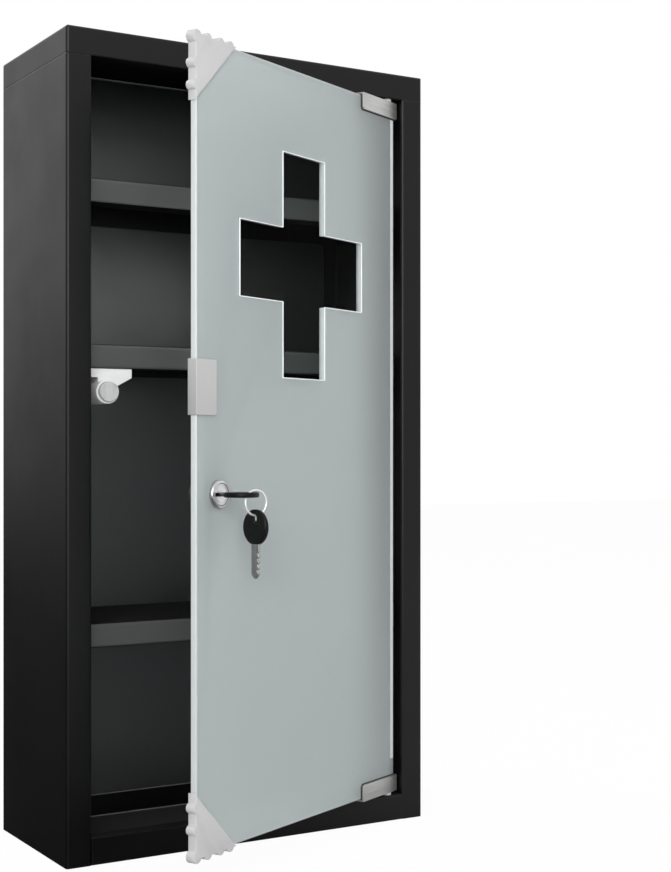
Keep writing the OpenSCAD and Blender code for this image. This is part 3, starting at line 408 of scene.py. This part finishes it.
chrome = metal("satin chrome", {
    "dark": (0.40, 0.40, 0.405), "light": (0.62, 0.62, 0.625), "rubbedAndGlint": grey(0.72), "rough": 0.30})
zinc = metal("zinc plate", {
    "dark": (0.50, 0.51, 0.53), "light": (0.62, 0.63, 0.65), "rubbedAndGlint": grey(0.7), "rough": 0.34})
springWire = metal("spring wire", {
    "dark": (0.40, 0.41, 0.42), "light": (0.5, 0.5, 0.52), "rubbedAndGlint": grey(0.6), "rough": 0.3})
magnetIron = metal("magnet", {
    "dark": (0.12, 0.12, 0.125), "light": (0.2, 0.2, 0.21), "rubbedAndGlint": grey(0.4), "rough": 0.45})
brass = metal("wafer brass", {
    "dark": (0.60, 0.44, 0.18), "light": (0.72, 0.55, 0.26), "rubbedAndGlint": (0.8, 0.65, 0.35), "rough": 0.3})
# the blade's cut edges get a near-white colour at full strength: real wear with a painted glint on top
keySteel = metal("nickel key blade", {
    "dark": (0.30, 0.30, 0.295), "light": (0.50, 0.50, 0.49), "rubbedAndGlint": (0.95, 0.95, 0.93), "wear": 1.0,
    "round": 0.0006, "rough": 0.3, "lineTurn": upright, "pitch": 0.0004, "length": 0.01})
# a darker copy of the key steel for the blade in the lock: painted shade
insertedSteel = metal("shaded key blade", {
    "dark": grey(0.16), "light": grey(0.26), "rubbedAndGlint": (0.5, 0.5, 0.49), "rough": 0.35})
# bright steel wire, made near white and partly diffuse: a painted sheen on the ring
ringSteel = metal("bright ring wire", {
    "dark": grey(0.88), "light": grey(0.94), "rubbedAndGlint": grey(0.97), "rough": 0.34,
    "metallic": 0.6})
camSteel = powderCoat("black cam", {
    "dark": (0.014, 0.014, 0.015), "light": (0.02, 0.02, 0.021), "rubbedAndGlint": grey(0.2),
    "level": (0.014, 0.014, 0.015), "levelSides": "MULTIPLY", "levelRough": 0.35,
    "rough": 0.35, "shine": 0.5, "wear": 0.7, "grainSize": 0.0004})
print("plain materials made")

glassValues = {
    "half": 2.5 * mm, "flatFrom": 0.999,  # how squarely a face looks out of the door
    "hingeEdge": -6 * mm, "hingeBand": 4.9 * mm, "bandEnd": 49 * mm, "shadeWidth": 62 * mm,
    "face": (0.66, 0.71, 0.71), "faceLight": (0.70, 0.75, 0.75), "faceRough": 0.9, "facePasses": 0.58,
    "shade": 0.66, "shadeLow": 0.86, "lowEnd": 50 * mm, "lowStart": 360 * mm,
    # the band's near-white colour is painted light
    "edge": (0.64, 0.67, 0.67), "band": (0.94, 0.96, 0.97), "bandShade": 0.72,
    "smoothRough": 0.18, "smoothPasses": 0.08, "index": 1.5,
    "grain": 0.4 * mm, "patch": 160 * mm, "bump": 0.12, "bumpDepth": 0.05 * mm,
}


# frosted faces of the pane, shaded towards the hinge by door coordinates
def frostedGlass(name, values):
    material, tree, shader, place = startMaterial(
        name, IOR=values["index"], Roughness=values["faceRough"], Transmission_Weight=values["facePasses"])
    inDoor = addNode(tree, "ShaderNodeMapping", -1000, 0, vector_type="TEXTURE",
                     inputs={"Location": (pivot.x, pivot.y, 0), "Rotation": (0, 0, math.pi + doorTurn)})
    wire(tree, place, inDoor.inputs["Vector"])
    split = addNode(tree, "ShaderNodeSeparateXYZ", -800, -300)
    wire(tree, inDoor.outputs[0], split.inputs[0])
    depth = addNode(tree, "ShaderNodeMapRange", -820, 350,
                    inputs={"From Min": values["lowEnd"], "From Max": values["lowStart"],
                            "To Min": values["shadeLow"], "To Max": values["shade"]})
    wire(tree, split.outputs["Z"], depth.inputs["Value"])
    shade = addNode(tree, "ShaderNodeMapRange", -620, 350, interpolation_type="SMOOTHSTEP",
                    inputs={"From Min": values["hingeEdge"], "From Max": values["shadeWidth"],
                            "To Max": 1.0})
    wire(tree, depth.outputs[0], shade.inputs["To Min"])
    wire(tree, split.outputs["X"], shade.inputs["Value"])
    grain = useGroup(tree, fineGrain, place, -800, 100, Size=values["grain"], Patch_Size=values["patch"])
    plainFace = mixColor(tree, grain["Patches"], values["face"], values["faceLight"], -450, 150)
    shadeEnd = values["hingeEdge"] + 2 * values["hingeBand"]
    bandShade = addNode(tree, "ShaderNodeMapRange", -620, 600, interpolation_type="SMOOTHSTEP",
                        inputs={"From Min": values["hingeEdge"], "From Max": shadeEnd,
                                "To Min": values["bandShade"], "To Max": 1.0})
    wire(tree, split.outputs["X"], bandShade.inputs["Value"])
    lit = addMath(tree, "MULTIPLY", shade.outputs[0], bandShade.outputs[0], -460, 450)
    wire(tree, mixColor(tree, lit, (0.0, 0.0, 0.0), plainFace, -350, 250), shader.inputs["Base Color"])
    addBump(tree, shader, grain["Height"], values["bump"], values["bumpDepth"])
    return material


# smooth parts of the pane: its ground edges and the unfrosted band at the hinge,
# whose near-white colour is painted light coming through the pane's edge
def smoothGlass(name, color, values):
    material, tree, shader, place = startMaterial(
        name, IOR=values["index"], Roughness=values["smoothRough"],
        Transmission_Weight=values["smoothPasses"], Base_Color=(*color, 1))
    grain = useGroup(tree, fineGrain, place, -800, 100, Size=values["grain"], Patch_Size=values["patch"])
    addBump(tree, shader, grain["Height"], values["bump"], values["bumpDepth"])
    return material


# the clear pane hardly bends or mirrors light, so that the shelves behind it stay plain to see
clearValues = {"index": 1.03, "rough": 0.03, "color": (0.93, 0.97, 0.96), "wave": 20 * mm, "patch": 50 * mm,
               "bump": 0.03, "bumpDepth": 0.2 * mm}


def clearGlass(name, values):
    material, tree, shader, place = startMaterial(
        name, IOR=values["index"], Transmission_Weight=1.0, Roughness=values["rough"],
        Base_Color=(*values["color"], 1))
    grain = useGroup(tree, fineGrain, place, -800, 100, Size=values["wave"], Patch_Size=values["patch"])
    addBump(tree, shader, grain["Height"], values["bump"], values["bumpDepth"])
    return material


frosted = frostedGlass("frosted glass", glassValues)
paneEdge = smoothGlass("pane edge", glassValues["edge"], glassValues)
paneBandPaintedLight = smoothGlass("pane band", glassValues["band"], glassValues)
clearPane = clearGlass("clear pane", clearValues)
print("glass made")

finishes = {
    "side_panel_left": bodySteel, "side_panel_right": bodySteel,
    "top_cap": bodySteel, "bottom_pan": panSteel, "back_panel": backSteel,
    "shelf_top": paintedLitShelfSteel, "shelf_middle": paintedLitShelfSteel, "shelf_bottom": paintedLitShelfSteel,
    "hinge_bush_top": nylon, "hinge_bush_bottom": nylon,
    "catch_housing": whitePlastic, "catch_screws": zinc, "catch_plunger": plungerPlastic,
    "catch_magnet": magnetIron, "catch_spring": springWire,
    "door_glass": frosted, "cross_window": clearPane,
    "hinge_clamp_top": stainless, "hinge_clamp_bottom": stainless,
    "clamp_liner_top": liner, "clamp_liner_bottom": liner,
    "clamp_screws_top": zinc, "clamp_screws_bottom": zinc, "hinge_pin_top": zinc, "hinge_pin_bottom": zinc,
    "corner_guard_top": guardPlastic, "corner_guard_bottom": guardPlastic,
    "strike_clip": strikeSteel, "strike_pad": padFoam,
    "lock_housing": chrome, "lock_gasket": liner, "lock_washer": zinc, "lock_nut": chrome,
    "lock_plug": chrome, "lock_wafers": brass, "lock_cam": camSteel, "cam_screw": zinc,
    "key_blade": insertedSteel, "key_head": keyPlastic, "key_ring": ringSteel,
    "spare_key_blade": keySteel, "spare_key_head": keyPlastic,
}
for name, material in finishes.items():
    mesh = nodes[name].data
    mesh.materials.clear()
    mesh.materials.append(material)
# the front lip of a shelf gets the lighter lip coat, painted light; the rest has the dark floor coat
for name in ("shelf_top", "shelf_middle", "shelf_bottom"):
    mesh = nodes[name].data
    mesh.materials.append(panSteel)
    for face in mesh.polygons:
        level = abs(face.normal.z) > coatValues["levelFrom"]
        face.material_index = int(level or face.center.y > shelfFront)
print("finishes set")

# how far each moulded, pressed or ground edge is rounded
roundings = {
    "corner_guard_top": 0.8 * mm, "corner_guard_bottom": 0.8 * mm, "strike_clip": 0.3 * mm,
    "hinge_clamp_top": 0.3 * mm, "hinge_clamp_bottom": 0.3 * mm,
    "catch_housing": 0.5 * mm, "door_glass": 0.4 * mm, "key_head": 0.35 * mm, "spare_key_head": 0.35 * mm,
    "key_blade": 0.12 * mm, "spare_key_blade": 0.12 * mm, "lock_nut": 0.3 * mm, "lock_cam": 0.3 * mm,
}


def selectOnly(piece):
    bpy.ops.object.select_all(action="DESELECT")
    piece.select_set(True)
    bpy.context.view_layer.objects.active = piece


# merged copy of a node's mesh, left selected and active
def copyNode(name, copyName):
    piece = bpy.data.objects.new(copyName, nodes[name].data.copy())
    bpy.context.scene.collection.objects.link(piece)
    selectOnly(piece)
    bpy.ops.object.mode_set(mode="EDIT")
    bpy.ops.mesh.select_all(action="SELECT")
    bpy.ops.mesh.remove_doubles(threshold=1e-6)
    bpy.ops.mesh.dissolve_limited(angle_limit=math.radians(0.5))
    bpy.ops.object.mode_set(mode="OBJECT")
    return piece


# a node's copy with rounded edges takes the node's place
def roundEdges(name, width):
    piece = copyNode(name, name + "_rounded")
    bevel = piece.modifiers.new("rounding", "BEVEL")
    bevel.width = width
    bevel.segments = 3
    bevel.limit_method = "ANGLE"
    bevel.angle_limit = math.radians(32)
    bpy.ops.object.modifier_apply(modifier=bevel.name)
    bpy.ops.object.shade_smooth_by_angle(angle=math.radians(30))
    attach(piece, nodes[name].parent.name.removeprefix("body:"))
    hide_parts(name)
    return piece


for name, width in roundings.items():
    piece = roundEdges(name, width)
    print("rounded", name, len(piece.data.polygons), "faces")


# the pane is cut along its band, so that band and edges can have their own materials
def splitPane(values):
    pane = bpy.data.objects["door_glass_rounded"]
    bandX = values["hingeEdge"] + values["hingeBand"]
    selectOnly(pane)
    bpy.ops.object.mode_set(mode="EDIT")
    bpy.ops.mesh.select_all(action="SELECT")
    bpy.ops.mesh.bisect(plane_co=pivot + along * bandX, plane_no=along)
    bpy.ops.mesh.select_all(action="SELECT")
    bpy.ops.mesh.bisect(plane_co=(0, 0, values["bandEnd"]), plane_no=(0, 0, 1))
    bpy.ops.object.mode_set(mode="OBJECT")
    pane.data.materials.append(paneEdge)
    pane.data.materials.append(paneBandPaintedLight)
    for face in pane.data.polygons:
        if abs(face.normal.dot(outward)) < values["flatFrom"]:
            face.material_index = 1
        elif (face.center - pivot).dot(along) < bandX and face.center.z > values["bandEnd"]:
            face.material_index = 2
    print("pane split:", [sum(f.material_index == slot for f in pane.data.polygons) for slot in range(3)])


splitPane(glassValues)


# a merged, smooth-shaded copy of the catch spring takes the node's place on the cabinet
def makeSpring():
    spring = copyNode("catch_spring", "catch_spring_coils")
    bpy.ops.object.shade_smooth_by_angle(angle=math.radians(50))
    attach(spring, "cabinet")
    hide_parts("catch_spring")
    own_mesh(spring)


makeSpring()

# black for the sheet that paints the key slot's shadow, and for the dark joint round the plug
slotShadowAndJoint = plastic("dark of a slot", {
    "dark": grey(0.002), "light": grey(0.003), "rubbedAndGlint": grey(0.01),
    "shine": 0.1, "rough": 0.8, "grainSize": 0.0005, "wear": 0.1})


# pieces of the lock are drawn round the z axis and then turned so that z runs out of the door
def placeOnLock(piece, name, depth, body, material):
    piece.name = name
    piece.rotation_euler = outward.to_track_quat("Z", "Y").to_euler()
    piece.location = lockAt + outward * (depth - (lockAt - pivot).dot(outward))
    bpy.ops.object.transform_apply(location=True, rotation=True, scale=True)
    piece.data.materials.clear()
    piece.data.materials.append(material)
    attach(piece, body)
    print("placed", name)


slotShadowValues = {"wide": 13.6 * mm, "high": 2.7 * mm, "thick": 0.1 * mm}


# a black sheet on the plug face, wider than the blade: painted shadow in the mouth of the key slot
def makeSlotShadow(values):
    bpy.ops.mesh.primitive_cube_add(size=1, location=(0, 0, 0))
    bpy.ops.object.mode_set(mode="EDIT")
    bpy.ops.mesh.select_all(action="SELECT")
    bpy.ops.transform.resize(value=(values["wide"], values["high"], values["thick"]))
    bpy.ops.object.mode_set(mode="OBJECT")
    placeOnLock(bpy.context.object, "key_slot_mouth", reachOutward("lock_plug"), "lock_core", slotShadowAndJoint)


jointValues = {"radius": 7.85 * mm, "wire": 0.24 * mm, "below": 0.12 * mm}


# dark joint between the plug face and the bezel
def makeJoint(values):
    bpy.ops.mesh.primitive_torus_add(major_radius=values["radius"], minor_radius=values["wire"],
                                     major_segments=64, minor_segments=8, location=(0, 0, 0))
    bpy.ops.object.shade_smooth()
    depth = reachOutward("lock_plug") - values["below"]
    placeOnLock(bpy.context.object, "plug_joint", depth, "lock_core", slotShadowAndJoint)


threadValues = {
    "radius": 7.95 * mm, "ridge": 0.26 * mm, "pitch": 0.75 * mm, "turns": 10, "start": -7.0 * mm}


# thread of the barrel behind the nut
def makeThread(values):
    bpy.ops.object.select_all(action="DESELECT")
    ridges = []
    for turn in range(values["turns"]):
        bpy.ops.mesh.primitive_torus_add(major_radius=values["radius"], minor_radius=values["ridge"],
                                         major_segments=56, minor_segments=6,
                                         location=(0, 0, -turn * values["pitch"]))
        bpy.ops.object.shade_smooth_by_angle(angle=math.radians(40))
        ridges.append(bpy.context.object)
    for ridge in ridges:
        ridge.select_set(True)
    bpy.context.view_layer.objects.active = ridges[0]
    bpy.ops.object.join()
    placeOnLock(bpy.context.object, "barrel_thread", values["start"], "door", chrome)


makeSlotShadow(slotShadowValues)
makeJoint(jointValues)
makeThread(threadValues)

# a ground edge gathers light from the whole pane; here that light is painted on, as a near-white colour and
# a glow
groundEdgePaintedGlow = plastic("ground glass edge", {
    "dark": (0.90, 0.93, 0.93), "light": (0.94, 0.97, 0.97), "rubbedAndGlint": (0.96, 0.98, 0.98),
    "rough": 0.2, "grainSize": 0.0005, "wear": 0.3, "depth": 0.3,
    "glowColor": (0.92, 0.97, 0.97), "glow": 0.35})
rimValues = {"round": 0.42 * mm, "proud": 0.15 * mm, "frontFrom": 0.9}


# ground edge round the cross: the outline of the clear pane, brought to the front of the glass, with the
# painted glow of the ground edge
def makeCrossRim(values):
    rim = copyNode("cross_window", "cross_rim")
    bpy.ops.object.mode_set(mode="EDIT")
    bpy.ops.mesh.select_all(action="DESELECT")
    bpy.ops.mesh.select_mode(type="FACE")
    bpy.ops.object.mode_set(mode="OBJECT")
    for face in rim.data.polygons:
        face.select = face.normal.dot(outward) < values["frontFrom"]
    bpy.ops.object.mode_set(mode="EDIT")
    bpy.ops.mesh.delete(type="FACE")
    bpy.ops.mesh.select_all(action="SELECT")
    bpy.ops.mesh.delete(type="ONLY_FACE")
    bpy.ops.mesh.select_mode(type="VERT")
    bpy.ops.mesh.select_all(action="SELECT")
    forward = glassValues["half"] + values["proud"] - reachOutward("cross_window")
    bpy.ops.transform.translate(value=outward * forward)
    bpy.ops.object.mode_set(mode="OBJECT")
    bpy.ops.object.convert(target="CURVE")
    bpy.context.object.data.bevel_depth = values["round"]
    bpy.context.object.data.bevel_resolution = 2
    bpy.ops.object.convert(target="MESH")
    rim = bpy.context.object
    bpy.ops.object.shade_smooth_by_angle(angle=math.radians(50))
    rim.data.materials.clear()
    rim.data.materials.append(groundEdgePaintedGlow)
    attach(rim, "door")
    print("cross rim", len(rim.data.polygons), "faces")


makeCrossRim(rimValues)

# camera where the photograph was taken from
cameraValues = {
    "place": (-0.5426, -1.1402, 0.2977), "turn": math.radians(-32.87),
    "focalPx": 1568, "middlePx": (420.5, 449.9), "imagePx": (671, 872),
}


def makeCamera(values):
    wide, tall = values["imagePx"]
    data = bpy.data.cameras.new("camera")
    data.sensor_fit = "AUTO"
    data.sensor_width = 36
    data.lens = values["focalPx"] * data.sensor_width / tall
    data.shift_x = (wide / 2 - values["middlePx"][0]) / tall
    data.shift_y = (values["middlePx"][1] - tall / 2) / tall
    data.clip_start = 0.01
    data.clip_end = 50
    camera = bpy.data.objects.new("camera", data)
    camera.location = values["place"]
    camera.rotation_euler = (math.radians(90), 0, values["turn"])
    bpy.context.scene.collection.objects.link(camera)
    bpy.context.scene.camera = camera


makeCamera(cameraValues)


# studio: pale floor, soft lamps, and a background that is white to the camera and to rays through glass
studioValues = {
    "floorSize": 12.0, "floorDrop": 0.5 * mm,
    "floorColor": grey(0.75), "floorRough": 0.9, "floorShine": 0.1,
    "floorMirror": (0.02, 0.9), "floorFrom": -50 * mm, "floorTo": 250 * mm,
    "glowLevel": 1.03, "floorGlow": 0.93, "mirrorGlow": 0.45,
    "background": 1.0, "fill": 0.42, "mirrorHigh": 1.05, "mirrorFrom": -0.14, "mirrorTo": 0.30,
    "lamps": [
        ("key lamp", (-1.2, -2.4, 1.0), (0, 0, 0.35), (1.8, 1.8), 52),
        ("front lamp", (0.85, -2.2, 0.36), (0, 0, 0.36), (0.9, 0.9), 2.2),
        ("side lamp", (-1.2, 1.5, 2.2), (-0.15, 0, 0.6), (0.9, 0.9), 16),
        ("right card", (2.2, -0.45, 0.45), (0, -0.1, 0.35), (1.6, 1.6), 8),
    ],
}


# rays that come straight or through glass, and rays that a shiny face has turned,
# which may go through glass after it
def sortRays(tree, x, y):
    path = addNode(tree, "ShaderNodeLightPath", x, y)
    turned = addMath(tree, "GREATER_THAN", path.outputs["Glossy Depth"], 0.5, x + 150, y - 200)
    through = path.outputs["Is Transmission Ray"]
    straight = addMath(tree, "SUBTRACT", through, turned, x + 300, y, True)
    plain = addMath(tree, "MAXIMUM", path.outputs["Is Camera Ray"], straight, x + 450, y)
    after = addMath(tree, "MULTIPLY", through, turned, x + 300, y - 200)
    mirrored = addMath(tree, "MAXIMUM", path.outputs["Is Glossy Ray"], after, x + 450, y - 200)
    return plain, mirrored


def makeBackdrop(values):
    world = bpy.data.worlds.new("studio")
    bpy.context.scene.world = world
    world.use_nodes = True
    tree = world.node_tree
    tree.nodes.clear()
    plain, mirrored = sortRays(tree, -900, 200)
    level = addNode(tree, "ShaderNodeMapRange", -300, 200,
                    inputs={"To Min": values["fill"], "To Max": values["background"]})
    wire(tree, plain, level.inputs["Value"])
    # shiny faces see a backdrop that is dark low down and white overhead
    coords = addNode(tree, "ShaderNodeTexCoord", -900, -200)
    height = addNode(tree, "ShaderNodeSeparateXYZ", -700, -200)
    wire(tree, coords.outputs["Object"], height.inputs[0])
    mirror = addNode(tree, "ShaderNodeMapRange", -500, -200,
                     inputs={"From Min": values["mirrorFrom"], "From Max": values["mirrorTo"],
                             "To Min": 0.0, "To Max": values["mirrorHigh"]})
    wire(tree, height.outputs["Z"], mirror.inputs["Value"])
    strength = addNode(tree, "ShaderNodeMix", -100, 0, data_type="FLOAT")
    wire(tree, mirrored, strength.inputs[0])
    wire(tree, level.outputs[0], strength.inputs[2])
    wire(tree, mirror.outputs[0], strength.inputs[3])
    sky = addNode(tree, "ShaderNodeBackground", 100, 0, inputs={"Color": (1, 1, 1, 1)})
    wire(tree, strength.outputs[0], sky.inputs["Strength"])
    wire(tree, sky.outputs[0], addNode(tree, "ShaderNodeOutputWorld", 300, 0).inputs[0])


def makeFloor(values):
    bpy.ops.mesh.primitive_plane_add(size=values["floorSize"], location=(0, 0, -values["floorDrop"]))
    floor = bpy.context.object
    floor.name = "floor"
    material, tree, shader, place = startMaterial(
        "pale floor", Roughness=values["floorRough"], Specular_IOR_Level=values["floorShine"])
    plain, mirrored = sortRays(tree, -900, -500)
    # shiny faces see a floor that is dark on the left and pale on the right
    across = addNode(tree, "ShaderNodeSeparateXYZ", -900, 0)
    wire(tree, place, across.inputs[0])
    sheen = addNode(tree, "ShaderNodeMapRange", -700, 0,
                    inputs={"From Min": values["floorFrom"], "From Max": values["floorTo"],
                            "To Min": values["floorMirror"][0], "To Max": values["floorMirror"][1]})
    wire(tree, across.outputs["X"], sheen.inputs["Value"])
    wire(tree, mixColor(tree, mirrored, values["floorColor"], sheen.outputs[0], -200, 0),
         shader.inputs["Base Color"])
    output = next(n for n in tree.nodes if n.type == "OUTPUT_MATERIAL")
    glow = addNode(tree, "ShaderNodeEmission", 300, -500,
                   inputs={"Strength": values["glowLevel"], "Color": (1, 1, 1, 1)})
    mix = addNode(tree, "ShaderNodeMixShader", 480, -200)
    soft = addMath(tree, "MULTIPLY", sheen.outputs[0], values["mirrorGlow"], -200, -800)
    bounce = addMath(tree, "MULTIPLY", mirrored, soft, 0, -800)
    seen = addMath(tree, "MULTIPLY", plain, values["floorGlow"], 100, -650)
    wire(tree, addMath(tree, "ADD", seen, bounce, 250, -650), mix.inputs[0])
    wire(tree, shader.outputs[0], mix.inputs[1])
    wire(tree, glow.outputs[0], mix.inputs[2])
    wire(tree, mix.outputs[0], output.inputs["Surface"])
    floor.data.materials.append(material)


def makeLamps(values):
    for name, place, target, size, power in values["lamps"]:
        light = bpy.data.lights.new(name, "AREA")
        light.shape = "RECTANGLE"
        light.size, light.size_y = size
        light.energy = power
        lamp = bpy.data.objects.new(name, light)
        lamp.location = place
        lamp.rotation_euler = (Vector(target) - Vector(place)).to_track_quat("-Z", "Y").to_euler()
        bpy.context.scene.collection.objects.link(lamp)


makeBackdrop(studioValues)
makeFloor(studioValues)
makeLamps(studioValues)
bpy.context.scene.view_settings.view_transform = "Standard"
print("camera and studio made")
